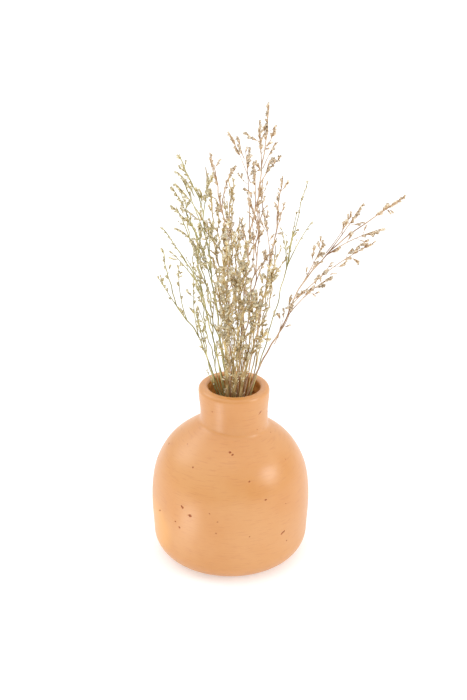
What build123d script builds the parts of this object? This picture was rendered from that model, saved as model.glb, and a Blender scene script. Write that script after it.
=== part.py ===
from build123d import *
import math
import os
from collections import namedtuple

# A small terracotta bottle vase that holds a loose bunch of dried sea lavender sprigs.
# Units are millimetres and +Z is up. The origin is the centre of the flat foot that the
# vase stands on; +X is to the right of a person who faces it and +Y points away from them.

# ---- vase: driving dimensions -------------------------------------------------------
HEIGHT = 117.0  # foot to rim
BELLY_R = 50.0  # widest radius
BELLY_Z = 38.0  # height of the widest place
FOOT_R = 33.0  # flat face that the vase stands on
FOOT_CORNER = 16.0  # rounding between the foot and the wall
SHOULDER = [(49.0, 53.0), (46.4, 63.5), (40.6, 74.5), (33.4, 82.0)]  # radius, height
SHOULDER_TOP = (13.0, 97.0)  # where the shoulder would end, were the neck not there
WALL_WAY = (0.03, 1.0)  # out and up: the wall's slope where it leaves the foot's corner
SHOULDER_WAY = (-0.8, 0.6)  # and the shoulder's slope at its top
NECK_X = 2.5  # the neck stands a little off the body's axis
NECK_R = 21.0  # outside the neck, above the shoulder
LIP_R = 22.1  # outside the rim, where the neck flares
FLARE = 18.0  # the flare starts this far below the rim
LIP_ROUND = 3.0  # rounding of the rim's outer edge
MOUTH_R = 16.0  # bore of the neck
MOUTH_ROUND = 2.0  # rounding of the rim's inner edge
NECK_FILLET = 3.0  # hollow between the neck and the shoulder
NECK_JOINT_Z = (84.0, 96.0)  # the neck meets the shoulder between these heights
NECK_ROOT_Z = 80.0  # the neck and its bore start here, within the shoulder
WALL = 6.0
SHOULDER_WALL = (0.85, 0.5)  # shares of the wall's thickness, in and down, on the slope
FLOOR_Z = 8.0  # inside of the base
HOLLOW_TOP_Z = 88.0  # the belly's hollow closes to a point inside the bore, up here

# ---- sprigs: driving dimensions ------------------------------------------------------
STEM_R = 0.75
BRANCH_R = 0.5  # a branch where it leaves its stem
TWIG_R = 0.3  # a branch where its flower spike starts
SPIKE_R = 1.5  # a flower spike at its thickest place
SPIKE_LENGTH = 15.0
SPIKE_SWELL = 5.0  # from a spike's start to its thickest place
FOOT_GAP = 0.7  # a stem's end is this far above the vase's floor, clear of it
SPREAD = 1.8  # how much wider the stems' ends stand on the floor than in the mouth
TWIST = 45.0  # degrees; the stems pass round each other, as in a hand-tied bunch
KNEE_Z = 128.0  # a stem is straight up to here, just above the rim
ARC_SHARE = 0.45  # of the shorter run beside a bend, how much its arc takes up
LARGEST_BEND_R = 150.0  # a slight bend keeps to this, so that its stem is mostly straight
BRANCH_REACH = 4.2  # how far an inner sprig's side branch stands out from its stem
BRANCH_RISE = 19.0  # and how far it rises
GOLDEN_ANGLE = 137.5  # degrees round the stem, from one side branch to the next
FIRST_BRANCH = 0.66  # share of an inner stem's length where its first branch leaves

# The eight sprigs that make the bunch's outline. A sprig's mouth is where its stem
# passes the mouth, from the mouth's centre. Its route is what the stem passes above the
# knee, and ends at its tip. A branch is the share of the stem's length where it leaves,
# and its own tip. Routes and tips are in the vase's frame.
Sprig = namedtuple("Sprig", "mouth route branches")

OUTER_SPRIGS = {
    "sprig_far_right": Sprig(
        (9.4, -7.0),
        [(30, -11, 158), (43, -12, 192), (63, -11, 216), (88, -9, 234)],
        [
            (0.66, (59, -20, 198)),
            (0.69, (83, -17, 218)),
            (0.75, (54, -15, 216)),
            (0.85, (77, -3, 236)),
            (0.84, (89, -13, 226)),
        ],
    ),
    "sprig_pale_right": Sprig(
        (11.75, -2.9),
        [(33, 3, 188), (37, 6, 210), (42, 7, 232)],
        [
            (0.80, (38, 9, 214)),
            (0.83, (31, 7, 218)),
            (0.84, (48, 3, 223)),
            (0.87, (40, 12, 226)),
        ],
    ),
    "sprig_brown_right": Sprig(
        (7.05, -2.9),
        [(21, 0, 180), (27, 0, 217), (29, 1, 236)],
        [(0.79, (26, -6, 212)), (0.85, (20, 1, 229)), (0.90, (32, -4, 238))],
    ),
    "sprig_tall_centre": Sprig(
        (2.35, -2.9),
        [(11, -6, 215), (18, -9, 254), (21, -10, 284)],
        [
            (0.70, (7, -9, 229)),
            (0.75, (9, -13, 274)),
            (0.78, (18, -3, 246)),
            (0.82, (14, -12, 264)),
            (0.88, (28, -11, 268)),
            (0.92, (17, -7, 283)),
        ],
    ),
    "sprig_upper_left": Sprig(
        (-2.35, -2.9),
        [(-2, -12, 222), (-8, -12, 256)],
        [(0.80, (2, -15, 230)), (0.86, (-6, -17, 246)), (0.92, (1, -11, 261))],
    ),
    "sprig_left_arching": Sprig(
        (-4.7, 1.2),
        [(-12, -3, 200), (-17, -3, 238), (-23, -2, 252)],
        [
            (0.72, (-17, 1, 208)),
            (0.75, (-33, 3, 244)),
            (0.80, (-11, -5, 226)),
            (0.85, (-28, 0, 252)),
            (0.90, (-12, -4, 252)),
        ],
    ),
    "sprig_left_reaching": Sprig(
        (-7.05, -2.9),
        [(-14, -11, 172), (-21, -14, 198), (-31, -15, 214)],
        [(0.76, (-20, -18, 193)), (0.82, (-20, -11, 212)), (0.88, (-35, -14.5, 212.5))],
    ),
    "sprig_low_left": Sprig(
        (-11.75, 5.3),
        [(-19, 5, 148), (-34, 5, 170), (-38, 5, 191)],
        [
            (0.66, (-20, 3, 163)),
            (0.75, (-22, 3, 188)),
            (0.82, (-31, 8, 194)),
            (0.86, (-43, 3, 187)),
        ],
    ),
}

# The inner sprigs fill the bunch, and stand nearly straight: where each passes the mouth,
# how high it is, how far its tip stands off its straight line, and its side branches.
InnerSprig = namedtuple("InnerSprig", "mouth height bend branches")

INNER_SPRIGS = [
    InnerSprig((-9.4, 1.2), 192, (2, 0), 3),
    InnerSprig((-11.75, -2.9), 162, (1, -1), 2),
    InnerSprig((-4.7, -7.0), 220, (1, 1), 5),
    InnerSprig((0.0, -7.0), 205, (-1, 1), 5),
    InnerSprig((4.7, -7.0), 192, (1, -1), 5),
    InnerSprig((-7.05, 5.3), 226, (1, 1), 5),
    InnerSprig((-2.35, 5.3), 240, (1, -2), 5),
    InnerSprig((2.35, 5.3), 228, (-2, 0), 5),
    InnerSprig((7.05, 5.3), 222, (0, -2), 5),
    InnerSprig((11.75, 5.3), 184, (1, 0), 3),
    InnerSprig((9.4, 1.2), 196, (0, -1), 4),
    InnerSprig((4.7, 1.2), 232, (1, 1), 5),
    InnerSprig((0.0, 1.2), 236, (-1, 1), 5),
    InnerSprig((-4.7, 9.4), 205, (0, -2), 4),
    InnerSprig((0.0, 9.4), 214, (1, -1), 4),
    InnerSprig((4.7, 9.4), 200, (-1, -2), 4),
]


# ---- vase ----------------------------------------------------------------------------
def turned(outline, axis_x=0.0):
    """The solid that an outline of (radius, height) makes when turned about axis_x."""
    section = Pos(axis_x, 0, 0) * Plane.XZ * make_face(Wire(outline))
    return revolve(section, Axis((axis_x, 0, 0), (0, 0, 1)))


def body_outline(inset, base_z, top_z):
    """The body's section with its wall moved in by inset, between a base and a top."""
    corner = FOOT_CORNER - inset
    foot_edge = (FOOT_R, base_z)
    corner_top = (FOOT_R + corner, base_z + corner)
    moved_in, moved_down = inset * SHOULDER_WALL[0], inset * SHOULDER_WALL[1]
    shoulder = [(r - moved_in, z - moved_down) for r, z in SHOULDER]
    top = (SHOULDER_TOP[0] - inset, top_z)
    return [
        Line((0, base_z), foot_edge),
        RadiusArc(foot_edge, corner_top, -corner),
        Spline(corner_top, (BELLY_R - inset, BELLY_Z), *shoulder, top, tangents=[WALL_WAY, SHOULDER_WAY]),
        Line(top, (0, top_z)),
        Line((0, top_z), (0, base_z)),
    ]


def neck_outline():
    """The neck's section: nearly straight, then a slight flare to the lip."""
    root = (NECK_R, NECK_ROOT_Z)
    waist = (NECK_R, HEIGHT - FLARE)
    lip_low = (LIP_R, HEIGHT - LIP_ROUND)
    lip_top = (LIP_R - LIP_ROUND, HEIGHT)
    return [
        Line((0, NECK_ROOT_Z), root),
        Line(root, waist),
        Spline(waist, lip_low, tangents=[(0, 1), (0, 1)]),
        RadiusArc(lip_low, lip_top, -LIP_ROUND),
        Line(lip_top, (0, HEIGHT)),
        Line((0, HEIGHT), (0, NECK_ROOT_Z)),
    ]


def make_vase():
    body = turned(body_outline(0.0, 0.0, SHOULDER_TOP[1]))
    outside = body + turned(neck_outline(), NECK_X)
    joint = outside.edges().filter_by_position(Axis.Z, *NECK_JOINT_Z)
    outside = fillet(joint, NECK_FILLET)
    hollow = turned(body_outline(WALL, FLOOR_Z, HOLLOW_TOP_Z))
    bore = Cylinder(MOUTH_R, HEIGHT - NECK_ROOT_Z, align=(Align.CENTER, Align.CENTER, Align.MIN))
    vase = outside - hollow - Pos(NECK_X, 0, NECK_ROOT_Z) * bore
    top_edges = vase.edges().filter_by_position(Axis.Z, HEIGHT, HEIGHT)
    return fillet(top_edges.sort_by(SortBy.LENGTH)[0], MOUTH_ROUND)


# ---- sprigs --------------------------------------------------------------------------
def on_line(mouth, height):
    """Where a stem's straight line, from the floor through the mouth, is at a height."""
    in_mouth = Vector(NECK_X, 0, HEIGHT) + Vector(*mouth)
    on_floor = Vector(NECK_X, 0, FLOOR_Z) - Vector(*mouth).rotate(Axis.Z, TWIST) * SPREAD
    share = (height - FLOOR_Z) / (HEIGHT - FLOOR_Z)
    return on_floor + (in_mouth - on_floor) * share


def stem_path(sprig):
    """Straight from the foot to the knee, then through the route with wide arcs."""
    points = [on_line(sprig.mouth, FLOOR_Z + FOOT_GAP), on_line(sprig.mouth, KNEE_Z)]
    points += [Vector(*point) for point in sprig.route]
    runs = [end - start for start, end in zip(points, points[1:])]
    radii = []
    for before, after in zip(runs, runs[1:]):
        half_turn = math.radians(before.get_angle(after) / 2)
        widest = ARC_SHARE * min(before.length, after.length) / math.tan(half_turn)
        radii.append(min(widest, LARGEST_BEND_R))
    return FilletPolyline(*points, radius=radii)


def inner_sprig(index, plan):
    """An inner sprig's route and branches, from its line, its bend and the golden angle."""
    bend = Vector(*plan.bend)
    middle = on_line(plan.mouth, (KNEE_Z + plan.height) / 2) + bend / 3
    end = on_line(plan.mouth, plan.height) + bend
    stem = Sprig(plan.mouth, [middle, end], [])
    path = stem_path(stem)
    for number in range(plan.branches):
        share = FIRST_BRANCH + (1 - FIRST_BRANCH) * number / plan.branches
        turn = GOLDEN_ANGLE * (number + index)
        out = Vector(BRANCH_REACH, 0, 0).rotate(Axis.Z, turn)
        stem.branches.append((share, path @ share + path % share * BRANCH_RISE + out))
    return stem


def turned_along(start, direction, outline):
    """The solid that an outline of (radius, distance) makes when turned about a line."""
    section = Plane.XZ * make_face(Polyline(*outline, close=True))
    return Plane(start, z_dir=direction) * revolve(section, Axis.Z)


def make_branch(start, tip):
    way = Vector(*tip) - start
    twig = way.length - SPIKE_LENGTH
    outline = [(0, 0), (BRANCH_R, 0), (TWIG_R, twig), (SPIKE_R, twig + SPIKE_SWELL), (0, way.length)]
    return turned_along(start, way, outline)


def make_sprig(sprig):
    path = stem_path(sprig)
    stem = sweep(Plane(path @ 0, z_dir=path % 0) * Circle(STEM_R), path)
    end_spike = [(0, 0), (STEM_R, 0), (SPIKE_R, SPIKE_SWELL), (0, SPIKE_LENGTH)]
    pieces = [turned_along(path @ 1, path % 1, end_spike)]
    pieces += [make_branch(path @ share, tip) for share, tip in sprig.branches]
    return stem.fuse(*pieces)


# ---- build ---------------------------------------------------------------------------
nodes = {"vase_body": make_vase()}
sprigs = dict(OUTER_SPRIGS)
for index, plan in enumerate(INNER_SPRIGS):
    sprigs[f"sprig_inner_{index + 1:02d}"] = inner_sprig(index, plan)
for name, sprig in sprigs.items():
    nodes[name] = make_sprig(sprig)

os.makedirs("parts", exist_ok=True)
for name, solid in nodes.items():
    export_step(solid, f"parts/{name}.step")
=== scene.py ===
"""A terracotta bottle vase with a bunch of dried sea lavender, on a white studio floor.

The vase is turned here as a fine mesh with real firing pits, and each sprig is grown round
the route of its CAD stem, so that every piece stays on its own body and in its own place.
Sizes are named in millimetres, as a potter or a florist would give them, in the CAD
model's frame. A mesh is made in millimetres and MM scales it to metres at the end.
"""

import math
from collections import namedtuple

import bpy
import numpy as np
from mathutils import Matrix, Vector


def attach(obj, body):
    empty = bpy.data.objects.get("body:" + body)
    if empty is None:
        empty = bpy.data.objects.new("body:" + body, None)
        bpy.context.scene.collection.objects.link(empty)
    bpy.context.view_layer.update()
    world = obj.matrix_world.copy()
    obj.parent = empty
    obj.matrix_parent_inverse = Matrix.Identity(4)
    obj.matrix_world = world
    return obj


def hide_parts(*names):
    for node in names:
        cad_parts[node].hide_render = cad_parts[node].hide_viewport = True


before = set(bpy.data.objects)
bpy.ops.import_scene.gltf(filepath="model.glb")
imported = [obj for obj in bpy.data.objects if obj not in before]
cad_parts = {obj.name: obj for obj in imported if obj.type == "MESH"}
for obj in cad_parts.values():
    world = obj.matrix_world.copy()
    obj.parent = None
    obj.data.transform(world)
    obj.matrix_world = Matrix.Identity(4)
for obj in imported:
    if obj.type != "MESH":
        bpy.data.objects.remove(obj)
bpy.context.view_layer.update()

MM = 0.001
SEED = 11
random = np.random.default_rng(SEED)

# ---- the vase: the CAD model's outline -----------------------------------------------
HEIGHT = 117.0
FOOT_R = 33.0
FOOT_CORNER = 16.0
BELLY = [(50.0, 38.0), (49.0, 53.0), (46.4, 63.5), (40.6, 74.5), (33.4, 82.0), (13.0, 97.0)]
NECK_X = 2.5
NECK_R = 21.0
LIP_R = 22.1
FLARE = 18.0
LIP_ROUND = 3.0
MOUTH_R = 16.0
MOUTH_ROUND = 2.0
NECK_ROOT_Z = 80.0
WALL = 6.0
FLOOR_Z = 8.0
HOLLOW_TOP_Z = 88.0
WALL_WAYS = (0.03, 1), (-0.8, 0.6)  # the wall's directions above the foot and into the neck
INNER_SHOULDER = (0.85, 0.5)  # how far inside and below the outer one it is, in walls
AXIS_SHIFT_Z = (50, 85)  # between these, the mesh's axis moves over from the body's to the neck's

# ---- the vase: the marks of its making -----------------------------------------------
ROUND_STEPS = 320
ROW_STEP = 0.8  # between the mesh's rows, up the wall
BORE_STEP = 1.2  # the same down the bore
NECK_BLEND = 2.2  # how softly the neck runs into the shoulder
FOOT_HOLLOW = 0.35  # the foot's middle is a little off the table
FOOT_HOLLOW_EDGE = (22, 31)  # the radii between which it comes down to the table
OUT_OF_ROUND = 0.25
TURNING_DEPTH = 0.006
TURNING_STEPS = (3.3, 2.1)  # from line to line, in two sets of fine lines
GROOVE_DEPTH = 0.3  # of the finger grooves inside
GROOVE_STEP = 6.5
MARKS_FADE = (2, 12)  # the radii between which the marks fade in from the middle
SHARP_ANGLE = 35  # degrees at an edge, from which it's shaded sharp
PIT_HALF_LENGTH = (0.6, 0.85)  # this and the next two are shares of a pit's width
PIT_HALF_WIDTH = (0.4, 0.6)
PIT_DEPTH = 0.36
PIT_SLOPE = 0.8  # radians either way
PIT_ROUGHNESS = (0.8, 1.2)  # how far in or out a point of its surface may be

# Pits that the front shows: degrees round from the front, height, and width.
PITS = [
    (-5, 85, 1.5),
    (-2, 84, 1.4),
    (14, 71, 1.2),
    (27, 59, 1.2),
    (-37, 52, 1.7),
    (-30, 48, 1.7),
    (-62, 40, 1.2),
    (-43, 40, 1.0),
    (-39, 37, 1.2),
    (-38, 76, 1.0),
    (-85, 77, 1.1),
    (-15, 52, 0.8),
    (-9, 47, 0.8),
    (-10, 39, 0.9),
    (14, 36, 0.8),
]
OTHER_PITS = 26  # small ones anywhere, and all that the back and sides have
OTHER_PIT_TURN = (0.6, 5.7)  # radians round from the front: all but the middle of it
OTHER_PIT_Z = (18, 112)
OTHER_PIT_WIDTH = (0.5, 1.2)

# Scratches: degrees round from the front, height, length, width, and slope in degrees.
SCRATCHES = [
    (48, 105, 3.2, 0.7, 38),
    (41, 32, 3.2, 1.1, 40),
]

# ---- the sprigs: the CAD model's layout ----------------------------------------------
FOOT_GAP = 0.7
SPREAD = 1.8
TWIST = 45.0
KNEE_Z = 128.0
BRANCH_REACH = 4.2
BRANCH_RISE = 19.0
GOLDEN_ANGLE = 137.5
FIRST_BRANCH = 0.66
SPIKE_LENGTH = 15.0
PITCH = 4.7

# A sprig's place in the mouth, the points that its stem passes above the knee, and its
# branches: the share of the stem's length where each leaves, and its tip.
Sprig = namedtuple("Sprig", "mouth route branches tint fullness")

OLIVE, STRAW, ROSE = "dried_olive", "dried_straw", "dried_rose"

OUTER_SPRIGS = {
    "sprig_far_right": Sprig(
        (9.4, -7.0),
        [(30, -11, 158), (43, -12, 192), (63, -11, 216), (88, -9, 234)],
        [
            (0.66, (59, -20, 198)),
            (0.69, (83, -17, 218)),
            (0.75, (54, -15, 216)),
            (0.85, (77, -3, 236)),
            (0.84, (89, -13, 226)),
        ],
        ROSE,
        1.5,
    ),
    "sprig_pale_right": Sprig(
        (11.75, -2.9),
        [(33, 3, 188), (37, 6, 210), (42, 7, 232)],
        [
            (0.80, (38, 9, 214)),
            (0.83, (31, 7, 218)),
            (0.84, (48, 3, 223)),
            (0.87, (40, 12, 226)),
        ],
        OLIVE,
        0.2,
    ),
    "sprig_brown_right": Sprig(
        (7.05, -2.9),
        [(21, 0, 180), (27, 0, 217), (29, 1, 236)],
        [(0.79, (26, -6, 212)), (0.85, (20, 1, 229)), (0.90, (32, -4, 238))],
        ROSE,
        0.9,
    ),
    "sprig_tall_centre": Sprig(
        (2.35, -2.9),
        [(11, -6, 215), (18, -9, 254), (21, -10, 284)],
        [
            (0.70, (7, -9, 229)),
            (0.75, (9, -13, 274)),
            (0.78, (18, -3, 246)),
            (0.82, (14, -12, 264)),
            (0.88, (28, -11, 268)),
            (0.92, (17, -7, 283)),
        ],
        ROSE,
        1.3,
    ),
    "sprig_upper_left": Sprig(
        (-2.35, -2.9),
        [(-2, -12, 222), (-8, -12, 256)],
        [(0.80, (2, -15, 230)), (0.86, (-6, -17, 246)), (0.92, (1, -11, 261))],
        ROSE,
        0.8,
    ),
    "sprig_left_arching": Sprig(
        (-4.7, 1.2),
        [(-12, -3, 200), (-17, -3, 238), (-23, -2, 252)],
        [
            (0.72, (-17, 1, 208)),
            (0.75, (-33, 3, 244)),
            (0.80, (-11, -5, 226)),
            (0.85, (-28, 0, 252)),
            (0.90, (-12, -4, 252)),
        ],
        OLIVE,
        1.4,
    ),
    "sprig_left_reaching": Sprig(
        (-7.05, -2.9),
        [(-14, -11, 172), (-21, -14, 198), (-31, -15, 214)],
        [(0.76, (-20, -18, 193)), (0.82, (-20, -11, 212)), (0.88, (-35, -14.5, 212.5))],
        OLIVE,
        0.8,
    ),
    "sprig_low_left": Sprig(
        (-11.75, 5.3),
        [(-19, 5, 148), (-34, 5, 170), (-38, 5, 191)],
        [
            (0.66, (-20, 3, 163)),
            (0.75, (-22, 3, 188)),
            (0.82, (-31, 8, 194)),
            (0.86, (-43, 3, 187)),
        ],
        OLIVE,
        0.7,
    ),
}

# Fine twigs that the outline shows: each one's start, middle and tip, and how much of its
# length flowers.
FINE_TWIGS = {
    "sprig_tall_centre": [
        ((12.0, -12.2, 254), (6, -13, 272), (0.4, -13, 283), 0.4),
        ((8.3, -12.6, 269), (6, -13, 274), (5.5, -13, 281), 0.7),
        ((10, -12, 262), (11, -12, 268), (10.8, -11, 274), 0.8),
        ((21, -10, 276), (24, -11, 279), (25, -11, 285), 0.6),
        ((19, -9.5, 262), (23, -10, 272), (26.4, -11, 279), 0.5),
    ],
    "sprig_upper_left": [
        ((-8.5, -12, 258), (-11, -12, 264), (-12, -12, 274), 0.8),
        ((-4.5, -12, 242), (-3, -11, 254), (2, -11, 263), 0.3),
    ],
    "sprig_far_right": [
        ((27, -10.5, 150), (31, -11, 160), (33, -11, 172), 0.15),
        ((29, -10.8, 154), (31, -12, 162), (30, -13, 170), 0.15),
        ((30, -11, 158), (36, -13, 168), (37, -14, 178), 0.2),
        ((57, -11, 210), (66, -11, 222), (71, -11, 234), 0.4),
    ],
    "sprig_left_arching": [
        ((-17, -3, 230), (-24, -4, 242), (-31, -4, 250), 0.5),
        ((-21, -2, 242), (-24, -3, 252), (-31, -3, 258), 0.7),
        ((-16, 0, 200), (-21, 1, 215), (-31, 2, 220), 0.7),
        ((-15, 0, 194), (-20, 1, 202), (-22, 1, 210), 0.8),
        ((-22, 2, 222), (-28, 3, 227), (-33, 3, 233), 0.8),
    ],
}

# The inner sprigs: place in the mouth, height, bend, number of branches, tint, fullness.
INNER_SPRIGS = [
    ((-9.4, 1.2), 192, (2, 0), 3, OLIVE, 0.2),
    ((-11.75, -2.9), 162, (1, -1), 2, OLIVE, 0.35),
    ((-4.7, -7.0), 220, (1, 1), 5, STRAW, 2.0),
    ((0.0, -7.0), 205, (-1, 1), 5, STRAW, 2.3),
    ((4.7, -7.0), 192, (1, -1), 5, STRAW, 2.2),
    ((-7.05, 5.3), 226, (1, 1), 5, OLIVE, 0.3),
    ((-2.35, 5.3), 240, (1, -2), 5, STRAW, 0.8),
    ((2.35, 5.3), 228, (-2, 0), 5, STRAW, 0.6),
    ((7.05, 5.3), 222, (0, -2), 5, ROSE, 0.45),
    ((11.75, 5.3), 184, (1, 0), 3, STRAW, 0.3),
    ((9.4, 1.2), 196, (0, -1), 4, STRAW, 0.3),
    ((4.7, 1.2), 232, (1, 1), 5, ROSE, 0.4),
    ((0.0, 1.2), 236, (-1, 1), 5, STRAW, 0.8),
    ((-4.7, 9.4), 205, (0, -2), 4, OLIVE, 0.4),
    ((0.0, 9.4), 214, (1, -1), 4, STRAW, 0.9),
    ((4.7, 9.4), 200, (-1, -2), 4, STRAW, 0.9),
]

# ---- the sprigs: the plant -----------------------------------------------------------
PATH_STEP = 1.5  # between the points of a stem's or a branch's path
TWIG_STEP = 0.5
FINE_TWIG_STEP = 1.2
CORNER_SHARE = 0.45  # of the shorter run beside it, which a stem's bend takes up
ODD_WAY = (0.31, 0.95, 0.05)  # a direction that no stem or floret is likely to have
STEM_SIDES = 7
TWIG_SIDES = 4
BRANCH_SIDES = 5
STEM_FOOT_R = 0.72
STEM_TOP_R = 0.30
SLIMMEST = 0.6  # a thin sprig's stem, as a share of a full one's
BRANCH_R = 0.34
BRANCH_TOP_R = 0.20
TWIG_R = 0.18
TWIG_TOP_R = 0.10
FINE_TWIG_R = 0.28
FIRST_TWIG_Z = 113.0  # an inner sprig's twigs start at the rim
OUTER_TWIG_Z = 162.0
BARE_LENGTH = 70.0  # but a thin sprig's stem stays bare for a share of this
BARE_BELOW = 0.9  # the fullness that makes a sprig thin
LAST_TWIG = 0.98  # the share of a stem's length where its twigs end
AIRY_TOP_Z = (205, 240)  # between these, twigs come to be twice as far apart
CELL_SHARE = 0.40  # how far a sprig's twigs reach towards the next sprig
TWIG_TILT = (22, 60)  # degrees from the stem
LONGEST_TWIG = 8.0
TWIG_REACH = (0.4, 1.0)  # shares of the room that there is
TWIG_TAPER = 0.5  # how much shorter twigs are at a stem's tip
TAPER_START = 0.6  # the share of the stem's length where they start to shorten
TWIG_CURL = 0.5  # how much a twig bows out before it turns up
TWIG_BARE = (0.3, 0.55)  # the share of a twig that has no florets
BRANCH_CURL = 0.4  # how far a branch keeps to its stem's direction before it bends away
BRANCH_TWIGS = (0.4, 0.92)  # the shares of a branch's length between which it has twigs
STEM_TWIG_GAP = 5.2  # from one twig to the next
BARE_TWIG_GAP = 16.0  # the same on an outer sprig's stem, which is nearly bare
BRANCH_TWIG_GAP = 4.6
GAP_SHARES = (0.15, 0.7, 1.0, 1.6, 2.0)  # a gap is any of these times the sizes above
SIDE_STEMS = 2  # thin ones that leave a full inner sprig's main stem within the neck
SIDE_STEM_FULLNESS = 0.8
SIDE_STEM_START = (98, 112)
SIDE_STEM_END = (145, 185)
SIDE_STEM_REACH = 0.9  # of the room that there is
SIDE_STEM_BOW = 1.8  # radians of the sine that it stands off its stem by
SIDE_STEM_BARE = 0.85  # the share of it that has no florets
WANDER = (0.4, 0.9)  # how far an outer and an inner stem stray from their lines
WANDER_Z = (HEIGHT - 5, KNEE_Z + 30)  # between these, they come to stray that far
WANDER_WAVES = ((1, 24, 44), (0.45, 9, 15))  # each one's share, and its least and greatest length
STEM_FLOWERS = 1.4  # how much of a stem's tip flowers, in spike lengths
BRANCH_FLOWERS = 0.8
CLUSTER_GAP = 1.8  # from one cluster of florets to the next
CLUSTER_SIZES = (1, 2, 3, 4)
CLUSTER_SHIFT = 0.03  # along its twig, as a share of the twig
MISSING_CLUSTERS = 0.2  # the share of them that have fallen
CLUSTER_COUNT = (0.4, 0.6, 1.3)  # at no fullness, more for each unit of it, and at most
FLORET_SIZE = (0.7, 0.35, 1.15)  # the same for how large the florets are
FLORET_VARIETY = (0.75, 1.25)  # how their sizes differ in a cluster
NEAR_RIM_SIZE = 0.6  # those by the vase's rim are smaller
FLORET_ASIDE = (-0.5, 1.5)  # how far florets face to their cluster's side
FLORET_TILT = (0.2, 0.9)  # and away from the twig
FLORET_SHIFT = 0.7  # along the twig, from the cluster's middle
CALYX_LENGTH = 2.5
CALYX_R = 0.6
CALYX_TEETH = 5
CALYX_THROAT = 0.55  # how high the bottom of its throat is, as a share of its length
CALYX_MIDDLE = 0.75  # the middle of its wide part, as such a share
STEM_ROOM = 1.6  # how far that stays from the ways that other stems come out


# ---- small helpers -------------------------------------------------------------------
def smoothstep(value, low, high):
    share = np.clip((value - low) / (high - low), 0, 1)
    return share * share * (3 - 2 * share)


def unit(vector):
    return vector / np.linalg.norm(vector)


def add_mesh(name, points, faces, materials, body):
    """A smooth-shaded mesh piece from points in millimetres, which rides on a body."""
    mesh = bpy.data.meshes.new(name)
    mesh.from_pydata((np.asarray(points) * MM).tolist(), [], faces)
    mesh.shade_smooth()
    for material in materials:
        mesh.materials.append(material)
    piece = bpy.data.objects.new(name, mesh)
    bpy.context.scene.collection.objects.link(piece)
    if body:
        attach(piece, body)
    return piece


# ---- the vase ------------------------------------------------------------------------
def smooth_outline(points, first_way, last_way):
    """(radius, height) points about ROW_STEP apart, on a smooth curve through the given ones."""
    ends = [np.array(point, float) for point in points]
    ways = [unit(np.array(first_way, float))]
    ways += [unit(after - before) for before, after in zip(ends, ends[2:])]
    ways += [unit(np.array(last_way, float))]
    outline = []
    for start, end, way_out, way_in in zip(ends, ends[1:], ways, ways[1:]):
        length = np.linalg.norm(end - start)
        for t in np.linspace(0, 1, round(length / ROW_STEP), endpoint=False):
            from_start = (2 * t**3 - 3 * t**2 + 1) * start + (t**3 - 2 * t**2 + t) * length * way_out
            from_end = (3 * t**2 - 2 * t**3) * end + (t**3 - t**2) * length * way_in
            outline.append(from_start + from_end)
    outline.append(ends[-1])
    return np.array(outline)


def arc(centre, radius, first_angle, last_angle, steps):
    """(radius, height) points on an arc, whose angles are in degrees up from outwards."""
    angles = np.radians(np.linspace(first_angle, last_angle, steps))
    return np.column_stack([centre[0] + radius * np.cos(angles), centre[1] + radius * np.sin(angles)])


def circle_reach(cosine, offset, radius):
    """How far a circle, whose centre is offset along X, reaches in each direction."""
    under_root = np.maximum(radius**2 - offset**2 * (1 - cosine**2), 0)
    return offset * cosine + np.sqrt(under_root)


def soft_max(a, b, blend):
    """The larger of two, which runs softly from one to the other where they are close."""
    overlap = np.maximum(blend - np.abs(a - b), 0) / blend
    return np.maximum(a, b) + overlap**2 * blend / 4


def row_centre(z):
    """The mesh's axis moves over to the neck's as it goes up the shoulder."""
    return NECK_X * smoothstep(z, *AXIS_SHIFT_Z)


def turning_marks(angles, z):
    """Slight waves up the wall, as a turned and burnished pot has."""
    first, second = (2 * np.pi * z / step for step in TURNING_STEPS)
    fine = np.sin(first + 0.7 * np.sin(angles)) + 0.6 * np.sin(second + angles)
    slow = np.sin(2 * angles + 0.6 + z / 60) + 0.5 * np.sin(3 * angles + z / 25)
    return TURNING_DEPTH * fine + OUT_OF_ROUND * slow * smoothstep(z, 2, 30)


def throwing_grooves(angles, z):
    """The deeper finger grooves inside, which nobody smooths."""
    return GROOVE_DEPTH * np.sin(2 * np.pi * z / GROOVE_STEP + angles)


# A row of the vase's mesh is a height, with the radius there of the body, the neck or both.
Row = namedtuple("Row", "z body_r neck_r", defaults=(0, 0))


def ring(row, angles, marks):
    """The points of one row, where the body's circle and the neck's run softly together."""
    cosine = np.cos(angles)
    centre = row_centre(row.z)
    body = circle_reach(cosine, -centre, row.body_r) if row.body_r else 0
    neck = circle_reach(cosine, NECK_X - centre, row.neck_r) if row.neck_r else 0
    reach = soft_max(body, neck, NECK_BLEND) if row.body_r and row.neck_r else body + neck
    reach = reach + marks(angles, row.z) * smoothstep(reach, *MARKS_FADE)
    heights = np.full(len(angles), row.z)
    return np.column_stack([centre + reach * cosine, reach * np.sin(angles), heights])


WALL_OUTLINE = smooth_outline([(FOOT_R + FOOT_CORNER, FOOT_CORNER), *BELLY], *WALL_WAYS)


def wall_row(z):
    """The row of the outside at any height between the foot's corner and the rim."""
    body_r = float(np.interp(z, WALL_OUTLINE[:, 1], WALL_OUTLINE[:, 0], right=0))
    flare = smoothstep(z, HEIGHT - FLARE, HEIGHT - LIP_ROUND)
    return Row(z, body_r, NECK_R + (LIP_R - NECK_R) * flare if z > NECK_ROOT_Z else 0)


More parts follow.
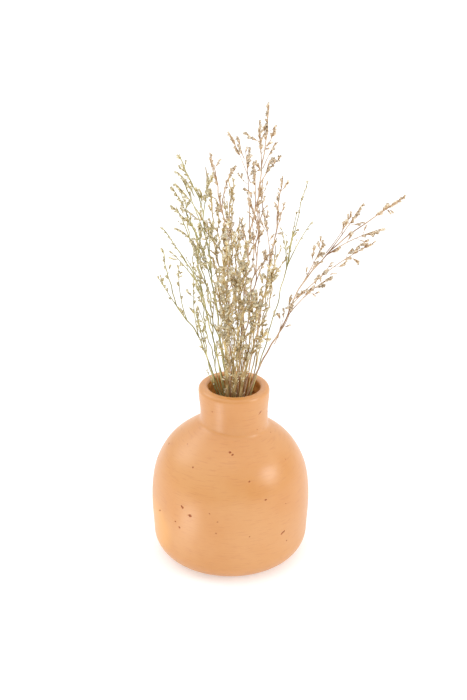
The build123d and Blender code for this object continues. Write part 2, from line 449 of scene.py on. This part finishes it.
def outside_rows():
    """From the foot's middle to the inner edge of the rim."""
    foot_radii = np.linspace(2, FOOT_R, 24)
    rows = [Row(FOOT_HOLLOW * (1 - smoothstep(r, *FOOT_HOLLOW_EDGE)), r) for r in foot_radii]
    rows += [Row(z, r) for r, z in arc((FOOT_R, FOOT_CORNER), FOOT_CORNER, -90, 0, 30)[1:]]
    rows += [wall_row(z) for z in np.arange(FOOT_CORNER + ROW_STEP, NECK_ROOT_Z, ROW_STEP)]
    rows += [wall_row(z) for z in np.arange(NECK_ROOT_Z, BELLY[-1][1], ROW_STEP / 2)]
    rows += [wall_row(z) for z in np.arange(BELLY[-1][1], HEIGHT - LIP_ROUND, ROW_STEP)]
    lip = arc((LIP_R - LIP_ROUND, HEIGHT - LIP_ROUND), LIP_ROUND, 0, 90, 14)
    mouth = arc((MOUTH_R + MOUTH_ROUND, HEIGHT - MOUTH_ROUND), MOUTH_ROUND, 90, 180, 10)
    return rows + [Row(z, 0, r) for r, z in [*lip, *mouth]]


def inside_rows():
    """From the top of the bore to the middle of the floor."""
    corner_r = FOOT_CORNER - WALL
    corner = arc((FOOT_R, FLOOR_Z + corner_r), corner_r, -90, 0, 14)
    inside, below = INNER_SHOULDER
    shoulder = [(r - inside * WALL, z - below * WALL) for r, z in BELLY[1:-1]]
    top = (BELLY[-1][0] - WALL, HOLLOW_TOP_Z)
    knots = [corner[-1], (BELLY[0][0] - WALL, BELLY[0][1]), *shoulder, top]
    wall = smooth_outline(knots, *WALL_WAYS)[1:]
    bore = np.arange(HEIGHT - MOUTH_ROUND - 1, HOLLOW_TOP_Z, -BORE_STEP)
    rows = [Row(z, 0, MOUTH_R) for z in bore]
    for z in np.arange(HOLLOW_TOP_Z, NECK_ROOT_Z, -ROW_STEP):
        rows.append(Row(z, float(np.interp(z, wall[:, 1], wall[:, 0])), MOUTH_R))
    rows += [Row(z, r) for r, z in reversed(wall) if z < NECK_ROOT_Z]
    rows += [Row(z, r) for r, z in reversed(corner)]
    return rows + [Row(FLOOR_Z, r) for r in np.linspace(FOOT_R - 2, 2, 12)]


def lofted(rings, first_middle, last_middle):
    """A closed surface through rings of points, shut by a point at either end."""
    sides = len(rings[0])
    points = np.concatenate([*rings, [first_middle], [last_middle]])
    around = np.arange(sides)
    following = (around + 1) % sides
    faces = []
    for start in range(0, sides * (len(rings) - 1), sides):
        low = [start + around, start + following]
        faces += np.column_stack([*low, low[1] + sides, low[0] + sides]).tolist()
    last = sides * (len(rings) - 1)
    for a, b in zip(around.tolist(), following.tolist()):
        faces.append([len(points) - 2, b, a])
        faces.append([len(points) - 1, last + a, last + b])
    return points, faces


def make_wall():
    """The whole vase as one closed surface: up the outside, over the rim, down the inside."""
    angles = np.linspace(0, 2 * np.pi, ROUND_STEPS, endpoint=False)
    rings = [ring(row, angles, turning_marks) for row in outside_rows()]
    rings += [ring(row, angles, throwing_grooves) for row in inside_rows()]
    points, faces = lofted(rings, (0, 0, FOOT_HOLLOW), (0, 0, FLOOR_Z))
    return add_mesh("vase", points, faces, [TERRACOTTA, PIT], "vase")


def pit_shape(width):
    """A pit's half length, half width and depth, and its slope across the wall."""
    shares = [random.uniform(*PIT_HALF_LENGTH), random.uniform(*PIT_HALF_WIDTH), PIT_DEPTH]
    return np.array(shares) * width, random.uniform(-PIT_SLOPE, PIT_SLOPE)


def make_pit_cutters():
    """Rough pebble shapes half sunk in the wall, one for each pit and scratch."""
    spots = [(math.radians(turn), z, *pit_shape(width)) for turn, z, width in PITS]
    for _ in range(OTHER_PITS):
        place = (random.uniform(*OTHER_PIT_TURN), random.uniform(*OTHER_PIT_Z))
        spots.append((*place, *pit_shape(random.uniform(*OTHER_PIT_WIDTH))))
    for turn, z, length, width, slope in SCRATCHES:
        sizes = np.array([length, width, width]) / 2
        spots.append((math.radians(turn), z, sizes, math.radians(slope)))
    points, faces = [], []
    for turn, z, sizes, tilt in spots:
        angle = np.array([turn - math.pi / 2])
        below, middle, above = [ring(wall_row(h), angle, turning_marks)[0] for h in (z - 1, z, z + 1)]
        up = unit(above - below)
        side = np.array([-math.sin(angle[0]), math.cos(angle[0]), 0])
        out = np.cross(side, up)
        along = side * math.cos(tilt) + up * math.sin(tilt)
        across = np.cross(out, along)
        first = len(points)
        for way in PEBBLE_POINTS:
            way = way * random.uniform(*PIT_ROUGHNESS) * sizes
            points.append(middle + way[0] * along + way[1] * across + way[2] * out)
        faces += [[first + corner for corner in face] for face in PEBBLE_FACES]
    return add_mesh("pit_cutters", points, faces, [TERRACOTTA, PIT], None)


def make_vase():
    """The wall, with pits cut into it that show their own clay inside."""
    wall, cutters = make_wall(), make_pit_cutters()
    cutters.data.polygons.foreach_set("material_index", [1] * len(cutters.data.polygons))
    cut = wall.modifiers.new("pits", "BOOLEAN")
    cut.operation = "DIFFERENCE"
    cut.solver = "MANIFOLD"
    cut.object = cutters
    graph = bpy.context.evaluated_depsgraph_get()
    wall.data = bpy.data.meshes.new_from_object(wall.evaluated_get(graph))
    wall.modifiers.clear()
    wall.data.set_sharp_from_angle(angle=math.radians(SHARP_ANGLE))
    bpy.data.objects.remove(cutters)
    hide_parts("vase_body")


# ---- the sprigs: how they grow -------------------------------------------------------
def stem_line(mouth, z):
    """Where a sprig's straight line, from the floor through the mouth, is at a height."""
    share = (z - FLOOR_Z) / (HEIGHT - FLOOR_Z)
    in_mouth = complex(*mouth)
    place = in_mouth * share - in_mouth * SPREAD * (1 - share) * np.exp(1j * math.radians(TWIST))
    return np.array([NECK_X + place.real, place.imag, z])


def twig_reach(z):
    """How far twigs may stand out at a height, so that they keep to their sprig's own room."""
    return CELL_SHARE * PITCH * np.linalg.norm(stem_line((1, 0), z) - (NECK_X, 0, z))


def bend(start, middle, end, steps):
    """Points on a curve from start to end that is drawn towards the middle point."""
    t = np.linspace(0, 1, steps)[:, None]
    return (1 - t) ** 2 * start + 2 * t * (1 - t) * middle + t**2 * end


def rounded(corners):
    """A polyline's points, with each corner made a wide curve."""
    path = [corners[0]]
    for before, corner, after in zip(corners, corners[1:], corners[2:]):
        size = CORNER_SHARE * min(np.linalg.norm(corner - before), np.linalg.norm(after - corner))
        start = corner + unit(before - corner) * size
        end = corner + unit(after - corner) * size
        path += list(bend(start, corner, end, 7))
    path.append(corners[-1])
    return np.array(path)


def spaced(path, step):
    """The same path with its points evenly spaced."""
    lengths = np.concatenate([[0], np.cumsum(np.linalg.norm(np.diff(path, axis=0), axis=1))])
    places = np.linspace(0, lengths[-1], max(3, round(lengths[-1] / step) + 1))
    return np.column_stack([np.interp(places, lengths, path[:, axis]) for axis in range(3)])


def at_share(path, share):
    """The point and the direction at a share of the length of an evenly spaced path."""
    place = min(share, 0.999) * (len(path) - 1)  # always short of the last point
    index = int(place)
    step = path[index + 1] - path[index]
    return path[index] + step * (place - index), unit(step)


def sideways(direction, turn):
    """A unit vector square to a direction, at an angle round it."""
    first = unit(np.cross(direction, ODD_WAY))
    return first * math.cos(turn) + np.cross(direction, first) * math.sin(turn)


def tube(path, start_r, end_r, sides):
    """A tapered tube along a path, shut at both ends."""
    ways = np.gradient(path, axis=0)
    across = sideways(unit(ways[0]), 0)
    turns = np.linspace(0, 2 * np.pi, sides, endpoint=False)[:, None]
    rings = []
    for point, way, radius in zip(path, ways, np.linspace(start_r, end_r, len(path))):
        way = unit(way)
        across = unit(across - way * np.dot(across, way))
        other = np.cross(way, across)
        rings.append(point + radius * (np.cos(turns) * across + np.sin(turns) * other))
    return lofted(rings, path[0], path[-1])


def calyx_shape():
    """One floret's papery funnel, 1 long and 1 in radius: its points, and its faces with
    their material numbers, 0 for the tube and 1 for the teeth."""
    turns = np.linspace(0, 2 * np.pi, CALYX_TEETH, endpoint=False)
    half_turn = np.pi / CALYX_TEETH
    rings = [(0.3, 0.0, 0), (0.65, 0.5, 0), (1.0, 1.0, 0), (0.75, 0.8, half_turn)]
    points = []
    for r, z, shift in rings:
        points += [(r * math.cos(t + shift), r * math.sin(t + shift), z) for t in turns]
    points += [(0, 0, 0), (0, 0, CALYX_THROAT)]
    n = CALYX_TEETH
    foot, throat = 4 * n, 4 * n + 1
    faces = []
    for a in range(n):
        b = (a + 1) % n
        valley = 3 * n + a
        faces += [((foot, b, a), 0), ((a, b, n + b, n + a), 0)]
        faces += [((n + a, n + b, valley), 1), ((n + a, valley, 2 * n + a), 1)]
        faces += [((n + b, 2 * n + b, valley), 1)]
        faces += [((2 * n + a, valley, throat), 1), ((valley, 2 * n + b, throat), 1)]
    return np.array(points), faces


CALYX_POINTS, CALYX_FACES = calyx_shape()


def by_fullness(least, more, most, fullness):
    """A value that rises with a sprig's fullness."""
    return min(most, least + more * fullness)


class Growth:
    """What has grown so far of one sprig: its tubes, and its florets, each with its foot,
    the direction that it faces, and its size."""

    def __init__(self, fullness):
        self.tubes = []
        self.florets = []
        self.fullness = fullness

    def add_tube(self, path, start_r, end_r, sides):
        self.tubes.append(tube(path, start_r, end_r, sides))

    def add_flowers(self, path, first_share):
        """Florets in small clusters along a twig's outer part, to one side and the other."""
        upper = sideways(at_share(path, 0.5)[1], random.uniform(0, 2 * np.pi))
        length = np.linalg.norm(path[-1] - path[0]) * (1 - first_share)
        count = max(1, round(length / CLUSTER_GAP * by_fullness(*CLUSTER_COUNT, self.fullness)))
        size = by_fullness(*FLORET_SIZE, self.fullness)
        for number, share in enumerate(np.linspace(first_share, 0.99, count + 1)):
            if random.uniform(0, 1) < MISSING_CLUSTERS:
                continue
            point, way = at_share(path, share + random.uniform(-CLUSTER_SHIFT, CLUSTER_SHIFT))
            side = np.cross(way, upper) * (1 if number % 2 else -1)
            for _ in range(random.choice(CLUSTER_SIZES)):
                aside = unit(upper + random.uniform(*FLORET_ASIDE) * side)
                out = unit(way + random.uniform(*FLORET_TILT) * aside)
                foot = point + random.uniform(-FLORET_SHIFT, FLORET_SHIFT) * way
                above_rim = smoothstep(foot[2], HEIGHT, KNEE_Z + 20)
                near_rim = NEAR_RIM_SIZE + (1 - NEAR_RIM_SIZE) * above_rim
                self.florets.append((foot, out, size * near_rim * random.uniform(*FLORET_VARIETY)))

    def add_twig(self, start, way, turn, reach):
        """A short flowering twig that leaves its stem and turns up beside it."""
        tilt = math.radians(random.uniform(*TWIG_TILT))
        length = min(reach / math.sin(tilt), LONGEST_TWIG)
        out = sideways(way, turn)
        heading = way * math.cos(tilt) + out * math.sin(tilt)
        middle = start + length * 0.5 * unit(heading + TWIG_CURL * random.uniform(0, 2) * out)
        path = bend(start, middle, start + length * heading, 5)
        self.add_tube(path, TWIG_R, TWIG_TOP_R, TWIG_SIDES)
        self.add_flowers(spaced(path, TWIG_STEP), random.uniform(*TWIG_BARE))

    def add_twigs(self, path, gap, first, last):
        """Twigs all round a stem between two shares of its length, by the golden angle."""
        length = np.linalg.norm(np.diff(path, axis=0), axis=1).sum()
        turn = random.uniform(0, 2 * np.pi)
        place = first * length
        while place < last * length:
            start, way = at_share(path, place / length)
            taper = 1 - TWIG_TAPER * smoothstep(place / length, TAPER_START, 1)
            reach = taper * twig_reach(start[2]) * random.uniform(*TWIG_REACH)
            self.add_twig(start, way, turn, reach)
            turn += math.radians(GOLDEN_ANGLE)
            thinning = 1 + smoothstep(start[2], *AIRY_TOP_Z)
            place += gap * thinning * random.choice(GAP_SHARES)

    def add_branch(self, start, way, tip):
        """A branch that bends away from its stem to its tip, with twigs and a flowering end."""
        length = np.linalg.norm(tip - start)
        half_way = (start + tip) / 2
        middle = half_way + (start + way * length / 2 - half_way) * BRANCH_CURL
        path = spaced(bend(start, middle, tip, 12), PATH_STEP)
        self.add_tube(path, BRANCH_R, BRANCH_TOP_R, BRANCH_SIDES)
        self.add_flowers(path, 1 - BRANCH_FLOWERS * SPIKE_LENGTH / length)
        self.add_twigs(path, BRANCH_TWIG_GAP / self.fullness, *BRANCH_TWIGS)


    def add_side_stem(self, stem_path):
        """A thin stem that leaves the main one within the neck and stands up beside it."""
        low = np.argmax(stem_path[:, 2] > random.uniform(*SIDE_STEM_START))
        high = np.argmax(stem_path[:, 2] > random.uniform(*SIDE_STEM_END))
        path = stem_path[low:high].copy()
        turn = random.uniform(0, 2 * np.pi)
        bow = np.sin(np.linspace(0, SIDE_STEM_BOW, len(path)))
        reach = SIDE_STEM_REACH * twig_reach(path[:, 2].mean()) * bow
        path[:, 0] += reach * math.cos(turn)
        path[:, 1] += reach * math.sin(turn)
        self.add_tube(path, BRANCH_R, BRANCH_TOP_R, BRANCH_SIDES)
        self.add_flowers(path, SIDE_STEM_BARE)


def inner_route(mouth, height, bend_by):
    """An inner sprig's route: it stands off its straight line by a little at its tip."""
    off = np.array([*bend_by, 0])
    return [stem_line(mouth, (KNEE_Z + height) / 2) + off / 3, stem_line(mouth, height) + off]


def inner_branches(path, count, index, bare_share):
    """An inner sprig's branches, spread by the golden angle: places on the stem, and tips."""
    branches = []
    for number in range(count):
        share = FIRST_BRANCH + (1 - FIRST_BRANCH) * number / count
        turn = math.radians(GOLDEN_ANGLE * (number + index))
        start, way = at_share(path, share * bare_share)
        out = BRANCH_REACH * np.array([math.cos(turn), math.sin(turn), 0])
        branches.append((share, start + way * BRANCH_RISE + out))
    return branches


def stray(path, most):
    """Moves a stem's path off its line by slow and quick waves, above the rim."""
    wander = most * smoothstep(path[:, 2], *WANDER_Z)
    for axis in (0, 1):
        for share, low, high in WANDER_WAVES:
            waves = 2 * np.pi * path[:, 2] / random.uniform(low, high) + random.uniform(0, 2 * np.pi)
            path[:, axis] += share * wander * np.sin(waves)


def grow(mouth, route, branches, fine_twigs, index, fullness):
    """Grows one sprig. A branch is the share of the stem where it leaves, and its tip; an
    inner sprig's are a number, for that many by the golden angle."""
    corners = [stem_line(mouth, FLOOR_Z + FOOT_GAP), stem_line(mouth, KNEE_Z)]
    corners += [np.array(point, float) for point in route]
    corners.append(corners[-1] + SPIKE_LENGTH * unit(corners[-1] - corners[-2]))
    path = spaced(rounded(corners), PATH_STEP)
    spike_share = SPIKE_LENGTH / (PATH_STEP * len(path))
    bare_share = 1 - spike_share
    inner = isinstance(branches, int)
    stray(path, WANDER[inner])
    growth = Growth(fullness)
    slimness = min(1, SLIMMEST + (1 - SLIMMEST) * 2 * fullness)
    growth.add_tube(path, STEM_FOOT_R * slimness, STEM_TOP_R * slimness, STEM_SIDES)
    growth.add_flowers(path[-round(len(path) * spike_share * STEM_FLOWERS):], 0)
    bare_z = OUTER_TWIG_Z
    if inner:
        bare_z = FIRST_TWIG_Z + BARE_LENGTH * max(0, BARE_BELOW - fullness)
    first_twig = np.argmax(path[:, 2] > bare_z) / len(path)
    twig_gap = STEM_TWIG_GAP if inner else BARE_TWIG_GAP
    growth.add_twigs(path, twig_gap / fullness, first_twig, LAST_TWIG)
    if inner:
        branches = inner_branches(path, branches, index, bare_share)
    for share, tip in branches:
        start, way = at_share(path, share * bare_share)
        growth.add_branch(start, way, np.array(tip, float))
    for start, middle, tip, flowering in fine_twigs:
        twig = spaced(bend(*np.array([start, middle, tip], float), 9), FINE_TWIG_STEP)
        growth.add_tube(twig, FINE_TWIG_R, TWIG_TOP_R, TWIG_SIDES)
        growth.add_flowers(twig, 1 - flowering)
    if inner and fullness >= SIDE_STEM_FULLNESS:
        for _ in range(SIDE_STEMS):
            growth.add_side_stem(path)
    return growth


def joined(meshes):
    """Several (points, faces) as one."""
    points, faces, first = [], [], 0
    for some_points, some_faces in meshes:
        points.append(some_points)
        faces += [[first + corner for corner in face] for face in some_faces]
        first += len(some_points)
    return np.concatenate(points), faces


def clear_of_stems(florets, mouth):
    """The florets that no other sprig's straight stem meets when it is lifted out."""
    mouths = [sprig.mouth for sprig in OUTER_SPRIGS.values()]
    mouths += [inner[0] for inner in INNER_SPRIGS]
    mouths.remove(mouth)
    kept = []
    for foot, out, size in florets:
        middle = foot + out * size * CALYX_LENGTH * CALYX_MIDDLE
        gaps = [np.linalg.norm(middle - stem_line(other, middle[2])) for other in mouths]
        if min(gaps) > STEM_ROOM:
            kept.append((foot, out, size))
    return kept


def floret_mesh(florets):
    """All of a sprig's calyces, each turned along its own direction."""
    meshes = []
    for point, out, size in florets:
        across = sideways(out, random.uniform(0, 2 * np.pi))
        other = np.cross(out, across)
        axes = np.array([across * CALYX_R, other * CALYX_R, out * CALYX_LENGTH]) * size
        meshes.append((point + CALYX_POINTS @ axes, [face for face, _ in CALYX_FACES]))
    return joined(meshes)


def make_sprig(name, mouth, route, branches, tint, fullness, index):
    """Grows a sprig and makes its two pieces: the stems, which replace its CAD solid, and
    the florets."""
    own_seed = [SEED, *name.encode()]  # so that a change to one sprig leaves the others alone
    random.bit_generator.state = np.random.default_rng(own_seed).bit_generator.state
    growth = grow(mouth, route, branches, FINE_TWIGS.get(name, []), index, fullness)
    growth.florets = clear_of_stems(growth.florets, mouth)
    stems = add_mesh(f"{name}_stems", *joined(growth.tubes), [STEMS[tint]], name)
    florets = add_mesh(f"{name}_florets", *floret_mesh(growth.florets), CALYX[tint], name)
    numbers = [number for _, number in CALYX_FACES] * len(growth.florets)
    florets.data.polygons.foreach_set("material_index", numbers)
    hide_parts(name)


# ---- materials -----------------------------------------------------------------------
class Shader:
    """A Principled material, and the few procedural nodes that these finishes share."""

    def __init__(self, name, roughness):
        self.material = bpy.data.materials.new(name)
        self.material.use_nodes = True
        self.nodes = self.material.node_tree.nodes
        self.links = self.material.node_tree.links
        self.surface = self.nodes["Principled BSDF"]
        self.surface.inputs["Roughness"].default_value = roughness

    def noise(self, scale, stretch=(1, 1, 1), detail=4):
        """Noise in the object's own coordinates, about scale patches to the metre."""
        coordinates = self.nodes.new("ShaderNodeTexCoord")
        mapping = self.nodes.new("ShaderNodeMapping")
        texture = self.nodes.new("ShaderNodeTexNoise")
        mapping.inputs["Scale"].default_value = stretch
        texture.inputs["Scale"].default_value = scale
        texture.inputs["Detail"].default_value = detail
        self.links.new(coordinates.outputs["Object"], mapping.inputs["Vector"])
        self.links.new(mapping.outputs["Vector"], texture.inputs["Vector"])
        return texture.outputs["Fac"]

    def near(self, point, far, close):
        """1 at a point in the object, falling to 0 away from it. Sizes are in millimetres."""
        coordinates = self.nodes.new("ShaderNodeTexCoord")
        distance = self.nodes.new("ShaderNodeVectorMath")
        distance.operation = "DISTANCE"
        distance.inputs[1].default_value = [size * MM for size in point]
        self.links.new(coordinates.outputs["Object"], distance.inputs[0])
        return self.ranged(distance.outputs["Value"], far * MM, close * MM, 0, 1)

    def ranged(self, value, from_low, from_high, to_low, to_high):
        node = self.nodes.new("ShaderNodeMapRange")
        node.interpolation_type = "SMOOTHSTEP"
        sizes = (from_low, from_high, to_low, to_high)
        for name, size in zip(("From Min", "From Max", "To Min", "To Max"), sizes):
            node.inputs[name].default_value = size
        self.links.new(value, node.inputs["Value"])
        return node.outputs["Result"]

    def mixed(self, factor, first, second):
        """A colour between two, each a colour or another node's output."""
        node = self.nodes.new("ShaderNodeMix")
        node.data_type = "RGBA"
        self.links.new(factor, node.inputs["Factor"])
        for socket, colour in zip((node.inputs[6], node.inputs[7]), (first, second)):
            if isinstance(colour, tuple):
                socket.default_value = (*colour, 1)
            else:
                self.links.new(colour, socket)
        return node.outputs[2]

    def bump(self, height, strength, distance):
        node = self.nodes.new("ShaderNodeBump")
        node.inputs["Strength"].default_value = strength
        node.inputs["Distance"].default_value = distance * MM
        self.links.new(height, node.inputs["Height"])
        self.links.new(node.outputs["Normal"], self.surface.inputs["Normal"])

    def colour(self, output):
        self.links.new(output, self.surface.inputs["Base Color"])


# Where the wall is more golden: its middle, reach and core, in millimetres.
TOASTED_SPOT = ((-48, -18, 26), 25, 8)


def terracotta():
    """Burnished clay: blotches and turning streaks of two colours, and a fine grain."""
    clay = Shader("burnished_terracotta", 0.32)
    clay.surface.inputs["Specular IOR Level"].default_value = 1.0
    blotches = clay.ranged(clay.noise(26, detail=5), 0.3, 0.7, 0, 1)
    streaks = clay.ranged(clay.noise(1, stretch=(130, 130, 1500), detail=5), 0.48, 0.74, 0, 1)
    grain = clay.noise(900, detail=2)
    pale, warm = (0.65, 0.30, 0.088), (0.61, 0.25, 0.05)
    deep, golden = (0.50, 0.165, 0.035), (0.76, 0.34, 0.05)
    colour = clay.mixed(blotches, warm, pale)
    soft_streaks = clay.ranged(streaks, 0, 1, 0, 0.3)
    colour = clay.mixed(soft_streaks, colour, deep)
    toasted = clay.ranged(clay.near(*TOASTED_SPOT), 0, 1, 0, 0.8)
    colour = clay.mixed(toasted, colour, golden)
    clay.colour(colour)
    clay.links.new(clay.ranged(blotches, 0, 1, 0.30, 0.38), clay.surface.inputs["Roughness"])
    height = clay.nodes.new("ShaderNodeMath")
    height.operation = "ADD"
    clay.links.new(streaks, height.inputs[0])
    clay.links.new(grain, height.inputs[1])
    clay.bump(height.outputs["Value"], 0.2, 0.06)
    return clay.material


def pit_clay():
    """The rough, iron-stained clay inside a pit."""
    clay = Shader("iron_spot", 0.85)
    dark, light = (0.30, 0.08, 0.03), (0.58, 0.22, 0.085)
    clay.colour(clay.mixed(clay.noise(1500, detail=2), dark, light))
    return clay.material


STEM_PATCHES = 120  # to the metre
CALYX_PATCHES = 400


def plant_skin(name, dark, light, patches=CALYX_PATCHES):
    """Dry plant skin, in patches of two colours."""
    skin = Shader(name, 0.75)
    lightness = skin.ranged(skin.noise(patches, detail=2), 0.3, 0.7, 0, 1)
    skin.colour(skin.mixed(lightness, dark, light))
    return skin.material


TERRACOTTA, PIT = terracotta(), pit_clay()
STEMS = {
    OLIVE: plant_skin("olive_stem", (0.22, 0.20, 0.06), (0.61, 0.55, 0.25), STEM_PATCHES),
    STRAW: plant_skin("straw_stem", (0.28, 0.18, 0.06), (0.76, 0.59, 0.28), STEM_PATCHES),
    ROSE: plant_skin("rose_stem", (0.33, 0.18, 0.09), (0.68, 0.49, 0.32), STEM_PATCHES),
}
CALYX = {
    OLIVE: [
        plant_skin("olive_calyx_tube", (0.26, 0.18, 0.05), (0.66, 0.53, 0.23)),
        plant_skin("olive_calyx_teeth", (0.60, 0.49, 0.26), (0.95, 0.88, 0.64)),
    ],
    STRAW: [
        plant_skin("straw_calyx_tube", (0.29, 0.17, 0.05), (0.70, 0.51, 0.22)),
        plant_skin("straw_calyx_teeth", (0.64, 0.49, 0.27), (0.95, 0.88, 0.65)),
    ],
    ROSE: [
        plant_skin("rose_calyx_tube", (0.28, 0.145, 0.06), (0.66, 0.45, 0.24)),
        plant_skin("rose_calyx_teeth", (0.60, 0.44, 0.27), (0.95, 0.82, 0.63)),
    ],
}

# ---- the object ----------------------------------------------------------------------
bpy.ops.mesh.primitive_ico_sphere_add(subdivisions=2, radius=1)
pebble = bpy.context.object
PEBBLE_POINTS = [np.array(vertex.co) for vertex in pebble.data.vertices]
PEBBLE_FACES = [list(face.vertices) for face in pebble.data.polygons]
bpy.data.objects.remove(pebble)

make_vase()
for index, (name, sprig) in enumerate(OUTER_SPRIGS.items()):
    make_sprig(name, *sprig, index)
for index, (mouth, height, bend_by, branches, tint, fullness) in enumerate(INNER_SPRIGS):
    route = inner_route(mouth, height, bend_by)
    name = f"sprig_inner_{index + 1:02d}"
    make_sprig(name, mouth, route, branches, tint, fullness, index)

# ---- studio --------------------------------------------------------------------------
# Patches of painted light on the floor, which glow though no lamp lights them, in a row that leads away
# from the vase, which the wall mirrors as one upright band: each one's middle, reach, core and strength.
PAINTED_LIGHT_PATCHES = [
    ((-80, -68, 0), 36, 8, 1.0),
    ((-115, -98, 0), 50, 14, 1.7),
    ((-165, -140, 0), 66, 22, 1.7),
]

# Sizes in metres.
FLOOR_REACH = 20
FLOOR_GLOW = (-0.09, 0.05, 0.43, 0.4)  # two places along Y, before and behind, and their glow
LIT_POINT = (0, 0, 0.07)  # what the lamps face
ROOM_UPWARDS = 6  # how much more the room brightens upwards than towards the back
ROOM_RANGE = (-1.0, 7.0, 0.56, 1.62)  # of that brightening, and the light at its two ends
CAMERA_TILT = 25.58  # degrees down


def white_floor():
    """White paper that glows enough to look white, and more in the patches of painted light."""
    mesh = bpy.data.meshes.new("floor")
    far = FLOOR_REACH
    mesh.from_pydata([(-far, -far, 0), (far, -far, 0), (far, far, 0), (-far, far, 0)], [], [(0, 1, 2, 3)])
    paper = Shader("white_paper", 0.9)
    paper.surface.inputs["Base Color"].default_value = (0.7, 0.7, 0.7, 1)
    paper.surface.inputs["Specular IOR Level"].default_value = 0
    paper.surface.inputs["Emission Color"].default_value = (1, 1, 1, 1)
    place = paper.nodes.new("ShaderNodeTexCoord")
    parts = paper.nodes.new("ShaderNodeSeparateXYZ")
    paper.links.new(place.outputs["Object"], parts.inputs["Vector"])
    glow = paper.ranged(parts.outputs["Y"], *FLOOR_GLOW)
    # Each patch adds painted light, as glow, to the floor's even glow.
    for middle, reach, core, strength in PAINTED_LIGHT_PATCHES:
        both = paper.nodes.new("ShaderNodeMath")
        both.operation = "ADD"
        spot = paper.ranged(paper.near(middle, reach, core), 0, 1, 0, strength)
        paper.links.new(glow, both.inputs[0])
        paper.links.new(spot, both.inputs[1])
        glow = both.outputs["Value"]
    paper.links.new(glow, paper.surface.inputs["Emission Strength"])
    mesh.materials.append(paper.material)
    floor = bpy.data.objects.new("floor", mesh)
    bpy.context.scene.collection.objects.link(floor)


def soft_light(name, towards, distance, size, power):
    """An oval light that faces the vase, in a direction from it. Sizes are in metres."""
    light = bpy.data.lights.new(name, "AREA")
    light.shape = "ELLIPSE"
    light.size, light.size_y = size
    light.energy = power
    lamp = bpy.data.objects.new(name, light)
    way = Vector(towards).normalized()
    lamp.location = Vector(LIT_POINT) + way * distance
    lamp.rotation_euler = way.to_track_quat("Z", "Y").to_euler()
    bpy.context.scene.collection.objects.link(lamp)


def white_room():
    """A room that is brightest overhead and a little brighter behind the vase than before it,
    and plain white where the camera sees it."""
    world = bpy.data.worlds.new("white_room")
    bpy.context.scene.world = world
    world.use_nodes = True
    nodes, links = world.node_tree.nodes, world.node_tree.links
    direction = nodes.new("ShaderNodeTexCoord")
    parts = nodes.new("ShaderNodeSeparateXYZ")
    shade = nodes.new("ShaderNodeMapRange")
    for name, size in zip(("From Min", "From Max", "To Min", "To Max"), ROOM_RANGE):
        shade.inputs[name].default_value = size
    above = nodes.new("ShaderNodeMath")
    above.operation = "MULTIPLY_ADD"
    above.inputs[1].default_value = ROOM_UPWARDS
    links.new(direction.outputs["Generated"], parts.inputs["Vector"])
    links.new(parts.outputs["Z"], above.inputs[0])
    links.new(parts.outputs["Y"], above.inputs[2])
    links.new(above.outputs["Value"], shade.inputs["Value"])
    seen = nodes.new("ShaderNodeLightPath")
    white_if_seen = nodes.new("ShaderNodeMath")
    white_if_seen.operation = "MAXIMUM"
    links.new(shade.outputs["Result"], white_if_seen.inputs[0])
    links.new(seen.outputs["Is Camera Ray"], white_if_seen.inputs[1])
    links.new(white_if_seen.outputs["Value"], nodes["Background"].inputs["Color"])


white_floor()
soft_light("right_softbox", (0.79, -0.34, 0.385), 1.0, (0.46, 0.4), 1.7)
soft_light("left_softbox", (-0.785, 0.2, 0.58), 1.0, (0.6, 0.5), 1.2)
white_room()

camera = bpy.data.objects.new("camera", bpy.data.cameras.new("camera"))
camera.data.lens = 83.34
camera.data.sensor_width = 36
camera.data.clip_start, camera.data.clip_end = 0.01, 50
camera.location = (0.00208, -0.902, 0.5727)
camera.rotation_euler = (math.radians(90 - CAMERA_TILT), 0, 0)
bpy.context.scene.collection.objects.link(camera)
bpy.context.scene.camera = camera
bpy.context.scene.view_settings.view_transform = "Standard"
